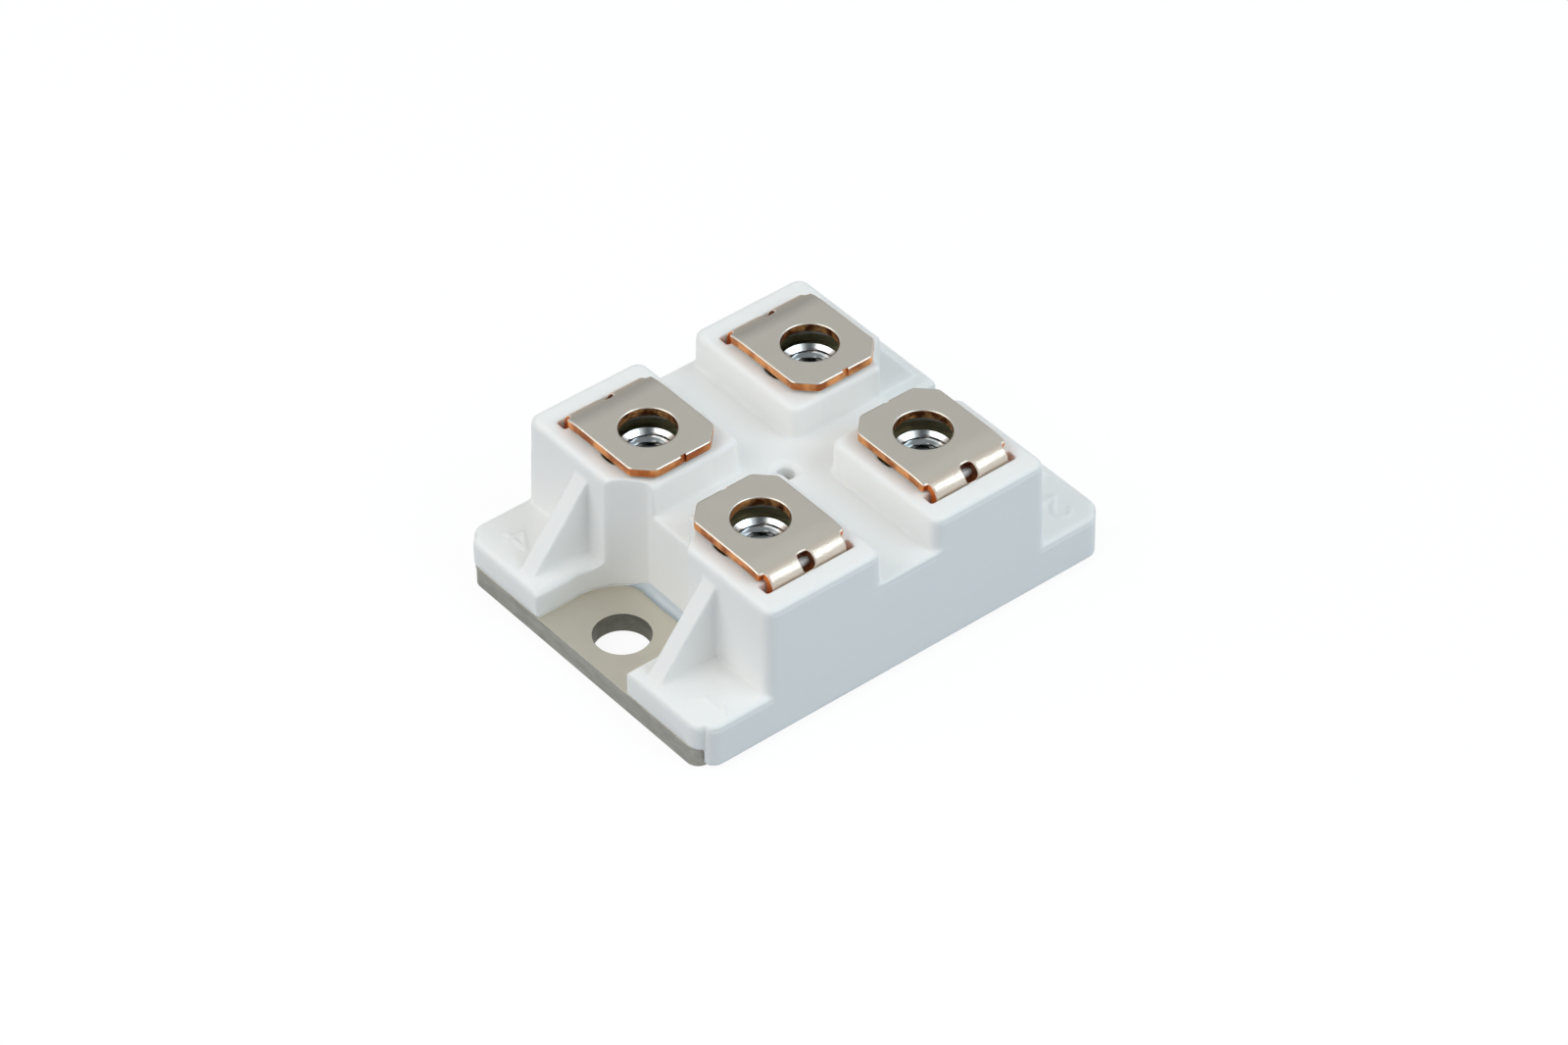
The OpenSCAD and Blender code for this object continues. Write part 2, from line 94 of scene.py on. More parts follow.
class Wire:
    """A socket in a node tree. Arithmetic on it adds Math nodes."""

    def __init__(self, tree, socket):
        self.tree = tree
        self.socket = socket

    def node(self, kind, settings=None, sockets=None, output=0):
        return add_node(self.tree, kind, settings, sockets, output)

    def math(self, operation, *values):
        sockets = dict(enumerate((self,) + values))
        return self.node("ShaderNodeMath", {"operation": operation}, sockets)

    def __add__(self, other):
        return self.math("ADD", other)

    __radd__ = __add__

    def __mul__(self, other):
        return self.math("MULTIPLY", other)

    __rmul__ = __mul__

    def __sub__(self, other):
        return self.math("SUBTRACT", other)

    def __truediv__(self, other):
        return self.math("DIVIDE", other)

    def __rsub__(self, other):
        return (self * -1) + other

    def step(self, low, high):
        """0 below low, 1 above high, and a smooth rise between them."""
        sockets = {"Value": self, "From Min": low, "From Max": high}
        return self.node("ShaderNodeMapRange", {"interpolation_type": "SMOOTHSTEP"}, sockets)


def add_node(tree, kind, settings=None, sockets=None, output=0):
    """Adds a node, with its settings set before its sockets, and gives one of its outputs."""
    node = tree.nodes.new(kind)
    for name, value in (settings or {}).items():
        if name == "stops":
            set_stops(node.color_ramp, value)
        else:
            setattr(node, name, value)
    for name, value in (sockets or {}).items():
        if isinstance(value, Wire):
            tree.links.new(value.socket, node.inputs[name])
        else:
            node.inputs[name].default_value = value
    return Wire(tree, node.outputs[output]) if node.outputs else None


def set_stops(ramp, stops):
    """Gives a colour ramp its places and colours."""
    while len(ramp.elements) < len(stops):
        ramp.elements.new(0.5)
    for element, (place, colour) in zip(ramp.elements, stops):
        element.position = place
        element.color = colour


def rgba(red, green, blue):
    """An opaque colour."""
    return (red, green, blue, 1.0)


def new_material(name):
    """An empty material, and its Object coordinates."""
    material = bpy.data.materials.new(name)
    material.use_nodes = True
    tree = material.node_tree
    tree.nodes.clear()
    place = add_node(tree, "ShaderNodeTexCoord", output="Object")
    return material, place


def finish_material(material, sockets):
    """Closes a material with a Principled shader."""
    tree = material.node_tree
    shader = add_node(tree, "ShaderNodeBsdfPrincipled", None, sockets)
    add_node(tree, "ShaderNodeOutputMaterial", None, {"Surface": shader})
    return material


def noise(place, size_mm, detail=2.0, stretch=None):
    """Noise from 0 to 1 with features of about a given size."""
    if stretch:
        place = place.node("ShaderNodeMapping", None, {"Vector": place, "Scale": stretch})
    sockets = {"Vector": place, "Scale": 1 / (size_mm * MM), "Detail": detail}
    return place.node("ShaderNodeTexNoise", None, sockets)


def blend(factor, first, second):
    """A colour between two others."""
    settings = {"data_type": "RGBA"}
    return factor.node("ShaderNodeMix", settings, {0: factor, 6: first, 7: second}, output=2)


def bump(height, depth_mm, strength):
    """Normals for a relief of a given depth."""
    sockets = {"Strength": strength, "Distance": depth_mm * MM, "Height": height}
    return height.node("ShaderNodeBump", None, sockets)


def zone(place, number):
    """1 on faces whose zone has at least a given number, 0 on the others."""
    mark = place.node("ShaderNodeAttribute", {"attribute_name": "zone"}, None, "Fac")
    return mark.step(number - 0.6, number - 0.4)


# Materials

# Zones of a piece's faces, which its material tells apart; faces in the third zone are darkened as
# painted shade
PLAIN, EDGE, PAINTED_SHADE, BORE = range(4)

# How far inside its outer face a strip starts to look bent, and where it fully does
BENT_FROM = 1.4
BENT_FULL = 0.8
BENT_RELIEF = 11


def white_plastic():
    """Satin moulded plastic: cloudy white with a fine mould grain and a few specks."""
    material, place = new_material("white_plastic")
    cloud = noise(place, 6.0, 3.0)
    grain = noise(place, 0.16, 2.0)
    specks = noise(place, 0.45, 1.0).step(0.84, 0.86)
    white = blend(cloud, rgba(0.905, 0.905, 0.885), rgba(0.93, 0.928, 0.912))
    return finish_material(material, {
        "Base Color": blend(specks, white, rgba(0.72, 0.70, 0.66)),
        "Roughness": 0.36 + 0.14 * cloud + 0.06 * grain,
        "Subsurface Weight": 0.25,
        "Subsurface Radius": (1.0, 0.9, 0.75),
        "Subsurface Scale": 0.45 * MM,
        "Normal": bump(grain, 0.006, 0.5),
    })


def plated_base():
    """Satin nickel over copper, rolled along the module, with dull punched sides whose colour is
    partly lowered as painted shade, and hole walls darkened as painted shade.
    """
    material, place = new_material("plated_base")
    rolled = noise(place, 0.25, 3.0, (0.06, 1.0, 1.0))
    cloud = noise(place, 3.0, 3.0)
    smear = noise(place, 0.5, 3.0, (1.0, 0.35, 1.0))
    side = zone(place, EDGE)
    hole = zone(place, PAINTED_SHADE)
    face = blend(cloud, rgba(0.69, 0.65, 0.55), rgba(0.77, 0.73, 0.63))
    # Punched sides: their own dull metal, with the colour also lowered as painted shade for the
    # shadowed floor that they reflect
    edge = blend(smear, rgba(0.20, 0.20, 0.18), rgba(0.41, 0.41, 0.38))
    # Hole walls: darkened as painted shade, standing in for the shadowed floor that they reflect
    wall = blend(smear, rgba(0.09, 0.09, 0.07), rgba(0.19, 0.185, 0.155))
    return finish_material(material, {
        "Base Color": blend(hole, blend(side, face, edge), wall),
        "Metallic": 1.0,
        "Roughness": 0.44 + 0.08 * rolled + 0.08 * side,
        "Normal": bump(rolled + side * smear, 0.004, 0.5),
    })


def plated_strip():
    """Satin nickel plate, thin and warm where it is bent, over copper that punched edges show; the
    window walls at the bend are darkened as painted shade, and the screw hole's wall carries
    painted reflections and painted highlights in patches.
    """
    material, place = new_material("plated_strip")
    cloud = noise(place, 2.2, 3.0)
    fine = noise(place, 0.10, 3.0)
    drawn = noise(place, 0.14, 3.0, (0.12, 1.0, 1.0))
    streak = noise(place, 0.30, 3.0, (1.0, 1.0, 0.2))
    patch = noise(place, 0.8, 3.0)
    peel = noise(place, 0.18, 2.0)
    tarnish = noise(place, 1.7, 2.0).step(0.32, 0.62)
    across = place.node("ShaderNodeSeparateXYZ", None, {"Vector": place}, "Y").math("ABSOLUTE")
    bent = across.step((strip_high.y - BENT_FROM) * MM, (strip_high.y - BENT_FULL) * MM)
    bare = zone(place, EDGE)
    flat = blend(0.6 * cloud + 0.4 * fine, rgba(0.72, 0.675, 0.595), rgba(0.81, 0.765, 0.68))
    nickel = blend(bent, flat, rgba(0.80, 0.70, 0.60))
    edge = blend(0.8 * tarnish + 0.2 * streak, rgba(0.34, 0.085, 0.02), rgba(0.96, 0.45, 0.175))
    edge = blend(bent, edge, rgba(0.86, 0.27, 0.065))
    # Window walls at the bend: copper darkened as painted shade, for the little light inside the
    # window
    painted_window_shade = blend(streak, rgba(0.11, 0.032, 0.012), rgba(0.34, 0.12, 0.05))
    # Screw hole wall: copper in random patches, the darker ones painted reflections of shade and
    # the bright orange ones painted highlights
    wall = blend(patch.step(0.35, 0.65), rgba(0.20, 0.065, 0.02), rgba(1.0, 0.52, 0.20))
    copper = blend(zone(place, BORE), blend(zone(place, PAINTED_SHADE), edge, painted_window_shade), wall)
    return finish_material(material, {
        "Base Color": blend(bare, nickel, copper),
        "Metallic": 1.0,
        "Roughness": 0.29 + 0.07 * fine + 0.06 * drawn + 0.08 * bent,
        "Normal": bump(drawn + fine + BENT_RELIEF * bent * peel + bare * streak, 0.005, 0.45),
    })


def zinc_steel():
    """Bright zinc plate, with its level faces darkened to a yellow-green and its threads darkened,
    both as painted shade.
    """
    material, place = new_material("zinc_steel")
    tint = noise(place, 1.2, 2.0)
    turned = noise(place, 0.1, 2.0, (1.0, 1.0, 4.0))
    bright = blend(tint, rgba(0.74, 0.78, 0.82), rgba(0.82, 0.82, 0.80))
    # Level faces: darkened to a yellow-green as painted shade, for the shaded strip underside that
    # they reflect
    painted_shade_level = blend(tint, rgba(0.20, 0.21, 0.13), rgba(0.32, 0.31, 0.20))
    # Threads: darkened as painted shade, for the shaded bore that they reflect
    painted_shade_thread = blend(tint, rgba(0.17, 0.19, 0.20), rgba(0.42, 0.44, 0.45))
    return finish_material(material, {
        "Base Color": blend(zone(place, PAINTED_SHADE), blend(zone(place, EDGE), bright, painted_shade_level), painted_shade_thread),
        "Metallic": 1.0,
        "Roughness": 0.17 + 0.10 * turned,
        "Normal": bump(turned, 0.003, 0.3),
    })


def cured_adhesive():
    """Pale silicone film, clearer, bluish and glossy where it swells into a bead, whose colour
    darkens towards its foot as painted shade.
    """
    material, place = new_material("cured_adhesive")
    cloud = noise(place, 0.9, 2.0)
    swell = zone(place, EDGE)
    height = place.node("ShaderNodeSeparateXYZ", None, {"Vector": place}, "Z")
    # Painted shade: the bead's colour darkens towards its foot at the plate and lightens towards
    # its top, by height
    depth = 0.8 * height.step(plate_high.z * MM, (plate_high.z + BEAD_H) * MM) + 0.2 * cloud
    film = blend(cloud, rgba(0.86, 0.86, 0.845), rgba(0.90, 0.90, 0.885))
    bead = blend(depth, rgba(0.30, 0.36, 0.41), rgba(0.62, 0.68, 0.72))
    return finish_material(material, {
        "Base Color": blend(swell, film, bead),
        "Roughness": 0.45 - 0.37 * swell + 0.06 * cloud,
        "Subsurface Weight": 0.2,
        "Subsurface Radius": (0.6, 0.8, 1.0),
        "Subsurface Scale": 0.3 * MM,
        "Normal": bump(cloud, 0.01, 0.3),
    })


MOTTLED_SPREAD = 0.15


def mottled(name, low, high, size_mm, metallic, rough, depth_mm, **constants):
    """A finish whose colour, gloss and relief follow one noise."""
    material, place = new_material(name)
    cloud = noise(place, size_mm, 4.0)
    sockets = {
        "Base Color": blend(cloud, rgba(*low), rgba(*high)),
        "Metallic": metallic,
        "Roughness": rough + MOTTLED_SPREAD * cloud,
        "Normal": bump(cloud, depth_mm, 0.5),
    }
    sockets.update({key.replace("_", " "): value for key, value in constants.items()})
    return finish_material(material, sockets)


FINISHES = {
    "white_plastic": white_plastic(),
    "plated_base": plated_base(),
    "plated_strip": plated_strip(),
    "zinc_steel": zinc_steel(),
    "adhesive": cured_adhesive(),
    "solder": mottled(
        "reflowed_solder", low=(0.55, 0.56, 0.58), high=(0.74, 0.75, 0.77),
        size_mm=0.4, metallic=1.0, rough=0.3, depth_mm=0.01),
    "copper": mottled(
        "bonded_copper", low=(0.66, 0.34, 0.20), high=(0.82, 0.48, 0.31),
        size_mm=0.3, metallic=1.0, rough=0.3, depth_mm=0.004),
    "ceramic": mottled(
        "fired_ceramic", low=(0.80, 0.79, 0.75), high=(0.88, 0.87, 0.84),
        size_mm=0.2, metallic=0.0, rough=0.4, depth_mm=0.004),
    "chip": mottled(
        "chip_metal", low=(0.30, 0.33, 0.36), high=(0.42, 0.45, 0.48),
        size_mm=0.8, metallic=0.8, rough=0.15, depth_mm=0.001),
    "wire": mottled(
        "bond_wire", low=(0.74, 0.75, 0.77), high=(0.86, 0.87, 0.88),
        size_mm=0.15, metallic=1.0, rough=0.25, depth_mm=0.004),
    "gel": mottled(
        "clear_gel", low=(0.86, 0.90, 0.92), high=(0.92, 0.94, 0.95),
        size_mm=2.0, metallic=0.0, rough=0.08, depth_mm=0.01,
        Transmission_Weight=0.9, IOR=1.41),
}


# Shared mesh steps, in millimetres

CAD_WELD = 0.001
WELD = 0.0005
EMPTY = 0.0002
FLAT_ANGLE = math.radians(0.5)


def merged_copy(node, flatten=True):
    """A copy of a CAD node's mesh with its loose triangles joined."""
    work = bmesh.new()
    work.from_mesh(nodes[node].data)
    bmesh.ops.scale(work, vec=(1 / MM,) * 3, verts=work.verts)
    bmesh.ops.remove_doubles(work, verts=work.verts, dist=CAD_WELD)
    if flatten:
        bmesh.ops.dissolve_limit(
            work, angle_limit=FLAT_ANGLE, verts=work.verts, edges=work.edges)
    return plain_mesh(work, node)


def cleaned(mesh):
    """The mesh with its doubled points joined, no empty faces, and all faces turned outwards."""
    work = bmesh.new()
    work.from_mesh(mesh)
    bmesh.ops.remove_doubles(work, verts=work.verts, dist=WELD)
    bmesh.ops.dissolve_degenerate(work, dist=EMPTY, edges=work.edges)
    bmesh.ops.recalc_face_normals(work, faces=work.faces)
    return plain_mesh(work, mesh.name)


def ring_faces(rows, ring, closed):
    """Faces between neighbouring rings of points, and back to the first ring if closed."""
    faces = []
    for row in range(rows if closed else rows - 1):
        low, high = row * ring, (row + 1) % rows * ring
        for i in range(ring):
            j = (i + 1) % ring
            faces.append((low + i, low + j, high + j, high + i))
    return faces


def ring_mesh(name, rows, faces):
    """A mesh from rings of points and their faces."""
    mesh = bpy.data.meshes.new(name)
    mesh.from_pydata(np.concatenate(rows).tolist(), [], faces)
    return cleaned(mesh)


def plain_mesh(work, name):
    """Turns an edited mesh into one that an object can hold."""
    mesh = bpy.data.meshes.new(name)
    work.to_mesh(mesh)
    work.free()
    return mesh


def new_object(name, data):
    """A new object in the scene."""
    made = bpy.data.objects.new(name, data)
    bpy.context.scene.collection.objects.link(made)
    return made


def evaluated_mesh(made):
    """The mesh that an object has once its modifiers or curves are worked out."""
    bpy.context.view_layer.update()
    graph = bpy.context.evaluated_depsgraph_get()
    return bpy.data.meshes.new_from_object(made.evaluated_get(graph))


def settle(made):
    """Turns an object and its modifiers into a plain mesh."""
    mesh = evaluated_mesh(made)
    made.modifiers.clear()
    made.data = mesh
    return mesh


def vertex_places(mesh):
    """The places of a mesh's points, one to a row."""
    places = np.empty(len(mesh.vertices) * 3)
    mesh.vertices.foreach_get("co", places)
    return places.reshape(-1, 3)


def face_places(mesh):
    """The middles and normals of a mesh's faces."""
    middles = np.empty(len(mesh.polygons) * 3)
    normals = np.empty(len(mesh.polygons) * 3)
    mesh.polygons.foreach_get("center", middles)
    mesh.polygons.foreach_get("normal", normals)
    return middles.reshape(-1, 3), normals.reshape(-1, 3)


def mark_zones(mesh, zones):
    """Gives each face the number of its zone, for its material."""
    layer = mesh.attributes.new("zone", "FLOAT", "FACE")
    layer.data.foreach_set("value", np.asarray(zones, dtype=np.float32))


def joined(made, operation, others):
    """Joins or cuts an object with others, which it uses up."""
    for other in others:
        modifier = made.modifiers.new("join", "BOOLEAN")
        modifier.operation = operation
        modifier.solver = "EXACT"
        modifier.object = other
    made.data = cleaned(settle(made))
    for other in others:
        bpy.data.objects.remove(other)
    return made.data


def dress(made, finish, *replaced, smooth_angle=35.0, level=True):
    """Shades a millimetre mesh, scales it to metres, and gives it its finish, body and slot."""
    mesh = made.data
    mesh.polygons.foreach_set("use_smooth", [True] * len(mesh.polygons))
    mesh.set_sharp_from_angle(angle=math.radians(smooth_angle))
    if level:
        modifier = made.modifiers.new("level", "WEIGHTED_NORMAL")
        modifier.weight = 100
        modifier.keep_sharp = True
        mesh = settle(made)
    mesh.transform(Matrix.Scale(MM, 4))
    mesh.materials.clear()
    mesh.materials.append(FINISHES[finish])
    mesh.update()
    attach(made, BODY)
    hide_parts(*replaced)
    return made


# Geometry trees

def new_tree(name, inputs, result):
    """A Geometry Nodes tree with named inputs, and the wires that carry them."""
    tree = bpy.data.node_groups.new(name, "GeometryNodeTree")
    for socket, kind in inputs.items():
        tree.interface.new_socket(socket, in_out="INPUT", socket_type=f"NodeSocket{kind}")
    tree.interface.new_socket(result, in_out="OUTPUT", socket_type="NodeSocketGeometry")
    given = tree.nodes.new("NodeGroupInput").outputs
    return tree, {socket: Wire(tree, given[socket]) for socket in inputs}


def finish_tree(tree, shape, finish, result):
    """Ends a tree with real geometry in its finish."""
    shape = add_node(tree, "GeometryNodeRealizeInstances", None, {"Geometry": shape})
    shape = add_node(tree, "GeometryNodeSetMaterial", None, {"Geometry": shape, "Material": finish})
    add_node(tree, "NodeGroupOutput", None, {result: shape})
    return tree


def apply_tree(made, tree, values):
    """Runs a tree on an object, with its inputs set by their sockets' identifiers."""
    modifier = made.modifiers.new("shape", "NODES")
    modifier.node_group = tree
    for item in tree.interface.items_tree:
        if item.name in values:
            modifier[item.identifier] = values[item.name]
    return settle(made)


# Moulded housing

# Its steps
SEAT_Z = 1.75
LEDGE_Z = 4.0
VALLEY_Z = 8.9
TOWER_END_X = 12.45
GROOVE_X = 2.55

# Its mesh, and how often its edges and groove feet are smoothed
VOXEL = 0.1
EDGE_PASSES = 9
VALLEY_PASSES = 60
HOUSING_FACES = 190000

# Raised terminal numbers, which lie on the ledges
NUMERAL_H = 2.2
NUMERAL_W = 1.35
NUMERAL_STROKE = 0.3
NUMERAL_RISE = 0.11
NUMERAL_ROUND = 1.5
NUMERAL_BAND = 0.15
NUMERAL_FROM_X = 13.5
ARC_STEPS = 12

# Creases at the ledge corners, and the parting line of the mould
CREASE_PLACE = (18.22, 13.23)
CREASE_W = 0.28
CREASE_DEPTH = 0.14
CREASE_TOP = LEDGE_Z + 0.05
PARTING_DROP = 0.42
PARTING_REACH = 0.35
PARTING_W = 0.14
PARTING_DEPTH = 0.05

# Nut pockets
POCKET_CORNER_R = 3.76
POCKET_FLAT_R = 3.5
POCKET_RIM = 1.2
POCKET_BAND = 0.4
POCKET_FLOOR = nut_low.z - 0.1
RIM_W = 0.3
RIM_SHARE = 0.3

# Where the smoothing fades: at the seat, and round the fillets at the feet of the groove walls
SEAT_BELOW = 0.3
SEAT_CRISP = 0.1
SEAT_FADE = 0.4
FILLET_LIFT = 0.15
FILLET_H = 0.9
FILLET_SIDE = 0.9
FILLET_END_X = 10.2
FILLET_END_FADE = 0.5
FILLET_X = 3.4
FILLET_Y = 3.0
FILLET_FADE = 0.4
FILLING_HOLE_R = 1.3


def fade(distance, width):
    """0 up to a place, 1 from a width past it, and an even rise between."""
    return np.clip(distance / width, 0, 1)


def arc(middle, radius, start, end):
    """Points along a round stroke, between two angles in degrees."""
    turn = np.radians(np.linspace(start, end, ARC_STEPS + 1))
    return list(zip(middle[0] + radius[0] * np.cos(turn), middle[1] + radius[1] * np.sin(turn)))


# Strokes of the terminal numbers, in shares of their width and height, and their middles
NUMERALS = {
    1: [(0.22, 0.74), (0.5, 1.0), (0.5, 0.0)],
    2: arc((0.5, 0.7), (0.46, 0.3), 170, -40) + [(0.02, 0.0), (1.0, 0.0)],
    3: arc((0.46, 0.75), (0.42, 0.25), 150, -90) + arc((0.46, 0.26), (0.5, 0.26), 90, -150),
    4: [(1.0, 0.28), (0.0, 0.28), (0.72, 1.0), (0.72, 0.0)],
}
NUMERAL_PLACES = {1: (-16.35, -12.05), 2: (16.15, -11.45), 3: (16.15, 11.0), 4: (-16.15, 10.57)}


def stroke_distance(points, stroke):
    """Distance of points in plan from a bent line."""
    nearest = np.full(len(points), np.inf)
    for start, end in zip(stroke[:-1], stroke[1:]):
        along = end - start
        share = np.clip((points - start) @ along / (along @ along), 0, 1)
        gap = np.linalg.norm(points - start - share[:, None] * along, axis=1)
        nearest = np.minimum(nearest, gap)
    return nearest


def raise_numerals(places):
    """Lifts the ledge tops along the strokes of the terminal numbers."""
    x, z = np.abs(places[:, 0]), places[:, 2]
    on_ledge = (np.abs(z - LEDGE_Z) < NUMERAL_BAND) & (x > NUMERAL_FROM_X)
    for number, stroke in NUMERALS.items():
        middle = np.array(NUMERAL_PLACES[number])
        line = middle - (np.array(stroke) - 0.5) * (NUMERAL_W, NUMERAL_H)
        near = on_ledge & (np.abs(places[:, :2] - middle).max(axis=1) < NUMERAL_H)
        share = fade(stroke_distance(places[near, :2], line), NUMERAL_STROKE)
        places[near, 2] += NUMERAL_RISE * (1 - share ** 2) ** NUMERAL_ROUND


def press_creases(places):
    """Presses in the upright line where each ledge corner meets the side skirt."""
    away = np.abs(places[:, :2]) - CREASE_PLACE
    gap = np.linalg.norm(away, axis=1)
    near = (gap < CREASE_W) & (places[:, 2] < CREASE_TOP)
    depth = CREASE_DEPTH * (1 - gap[near] / CREASE_W)
    inward = np.sign(places[near, :2]) * np.array(CREASE_PLACE) / np.linalg.norm(CREASE_PLACE)
    places[near, :2] -= depth[:, None] * inward


def part_sides(places):
    """Presses a fine line below the top edges of the long sides, where the mould parts."""
    x, y, z = np.abs(places[:, 0]), np.abs(places[:, 1]), places[:, 2]
    top = np.where(x > TOWER_END_X, LEDGE_Z, np.where(x < GROOVE_X, VALLEY_Z, shell_high.z))
    gap = np.abs(z - top + PARTING_DROP)
    near = (y > shell_high.y - PARTING_REACH) & (gap < PARTING_W)
    depth = PARTING_DEPTH * (1 - gap[near] / PARTING_W)
    places[near, 1] -= depth * np.sign(places[near, 1])


def round_pockets(places):
    """Draws in the corners of the nut pockets, as far as the nuts' own round corners."""
    middle = np.sign(places[:, :2]) * (screw_pitch_x / 2, screw_pitch_y / 2)
    away = places[:, :2] - middle
    reach = np.linalg.norm(away, axis=1)
    turn = np.arctan2(away[:, 1], away[:, 0])
    wall = POCKET_FLAT_R / np.cos(turn % (math.pi / 3) - math.pi / 6)
    pull = np.maximum(wall - POCKET_CORNER_R, 0) * fade(wall + POCKET_RIM - reach, POCKET_RIM)
    at_wall = (places[:, 2] > POCKET_FLOOR) & (reach > POCKET_CORNER_R - POCKET_BAND)
    near = at_wall & (pull > 0)
    places[near, :2] -= (pull / reach)[near, None] * away[near]


def soft_share(places):
    """1 on the moulded edges, less on the nut pockets' rims, 0 where the housing is seated."""
    x = np.abs(np.abs(places[:, 0]) - screw_pitch_x / 2)
    y = np.abs(np.abs(places[:, 1]) - screw_pitch_y / 2)
    z = places[:, 2]
    reach = np.maximum(y, x * math.cos(math.pi / 6) + y / 2)
    rim = (reach < NUT_ACROSS_FLATS / 2 + RIM_W) & (z > VALLEY_Z)
    seat = np.where(z > SEAT_Z - SEAT_BELOW, fade(z - SEAT_Z - SEAT_CRISP, SEAT_FADE), 1.0)
    return np.where(rim, RIM_SHARE, seat)


def valley_share(places):
    """1 along the feet of the towers' groove walls, 0 elsewhere."""
    x, y, z = np.abs(places[:, 0]), np.abs(places[:, 1]), places[:, 2]
    height = np.clip(1 - np.abs(z - VALLEY_Z - FILLET_LIFT) / FILLET_H, 0, 1)
    side = fade(shell_high.y - FILLET_SIDE - y, FILLET_END_FADE)
    end = fade(FILLET_END_X - x, FILLET_END_FADE)
    groove = np.maximum(fade(FILLET_X - x, FILLET_FADE), fade(FILLET_Y - y, FILLET_FADE))
    hole = fade(np.hypot(x, y) - FILLING_HOLE_R, FILLET_FADE)
    return height * (side * end) * groove * hole


def soften(made, passes, share):
    """Smooths a mesh, by a share from 0 to 1 at each of its points."""
    share = np.round(share, 1)
    group = made.vertex_groups.new(name="share")
    for weight in np.unique(share[share > 0]):
        group.add(np.flatnonzero(share == weight).tolist(), float(weight), "REPLACE")
    modifier = made.modifiers.new("soften", "SMOOTH")
    modifier.factor = 0.5
    modifier.iterations = passes
    modifier.vertex_group = group.name
    mesh = settle(made)
    made.vertex_groups.clear()
    return mesh


def moulded_housing():
    """The housing with soft moulded edges inside and out, and its raised terminal numbers."""
    made = new_object("moulded_housing", merged_copy("housing", flatten=False))
    remesh = made.modifiers.new("even", "REMESH")
    remesh.mode = "VOXEL"
    remesh.voxel_size = VOXEL
    mesh = settle(made)
    mesh = soften(made, EDGE_PASSES, soft_share(vertex_places(mesh)))
    mesh = soften(made, VALLEY_PASSES, valley_share(vertex_places(mesh)))
    places = vertex_places(mesh)
    raise_numerals(places)
    press_creases(places)
    part_sides(places)
    round_pockets(places)
    mesh.vertices.foreach_set("co", places.ravel())
    thin = made.modifiers.new("thin", "DECIMATE")
    thin.ratio = HOUSING_FACES / (2 * len(mesh.polygons))
    settle(made)
    return dress(made, "white_plastic", "housing", smooth_angle=60.0, level=False)


# Terminal strips: a flat blank with its holes, bent along a path

STRIP_T = 0.8
STRIP_EDGE = 0.15
BEND_R = 0.75
SAG_R = 8.0
SAG_ANGLE = math.radians(12)
TIP_LEN = 4.1
TIP_CHAMFER = 1.4
TIP_NOTCH = (0.25, 0.16)
OUTLINE_CORNER = 0.26
SCREW_HOLE_R = 2.15
SCREW_HOLE_POINTS = 96
RELIEF_DEPTH = 0.5
RELIEF_LEG = 1.0
WINDOW_HALF = 0.54
WINDOW_CORNER = 0.4
WINDOW_STEPS = 6
WINDOW_RUN = 0.1
WINDOW_AREA = 1.0
SHOULDER_Z = 5.4
FOOT_HALF = 1.3
FOOT_LEN = 2.2
SAG_CUTS = 13
BEND_CUTS = 19
FOOT_CUTS = 10
CUT_SLACK = 0.0001
PUNCHED_FACING = (-0.9, 0.4)
BORE_RIM = 0.1
TERMINALS = {1: (-1, -1), 2: (1, -1), 3: (1, 1), 4: (-1, 1)}

# Lengths along the middle of the strip, from its free end
strip_half = (strip_high.x - strip_low.x) / 2
strip_mid_z = strip_high.z - STRIP_T / 2
leg_run = strip_high.y - strip_low.y - STRIP_T / 2
flat_end = leg_run - SAG_R * math.sin(SAG_ANGLE) - BEND_R * (1 - math.sin(SAG_ANGLE))
sag_end = flat_end + SAG_R * SAG_ANGLE
bend_end = sag_end + BEND_R * (math.pi / 2 - SAG_ANGLE)
bend_low_z = strip_mid_z - SAG_R + (SAG_R - BEND_R) * math.cos(SAG_ANGLE)
leg_len = bend_low_z - strip_low.z - STRIP_T / 2 - BEND_R
foot_bend = bend_end + leg_len
foot_start = foot_bend + BEND_R * math.pi / 2
foot_end = foot_start + FOOT_LEN


def soft_corners(points, radius, steps=4):
    """A closed outline with its corners rounded."""
    rounded = []
    points = [np.array(point) for point in points]
    for before, corner, after in zip(points[-1:] + points[:-1], points, points[1:] + points[:1]):
        reach_in = min(radius, np.linalg.norm(before - corner) / 2)
        reach_out = min(radius, np.linalg.norm(after - corner) / 2)
        start = corner + (before - corner) / np.linalg.norm(before - corner) * reach_in
        end = corner + (after - corner) / np.linalg.norm(after - corner) * reach_out
        for share in np.linspace(0, 1, steps + 1):
            first = start + (corner - start) * share
            rounded.append(first + (corner + (end - corner) * share - first) * share)
    return rounded


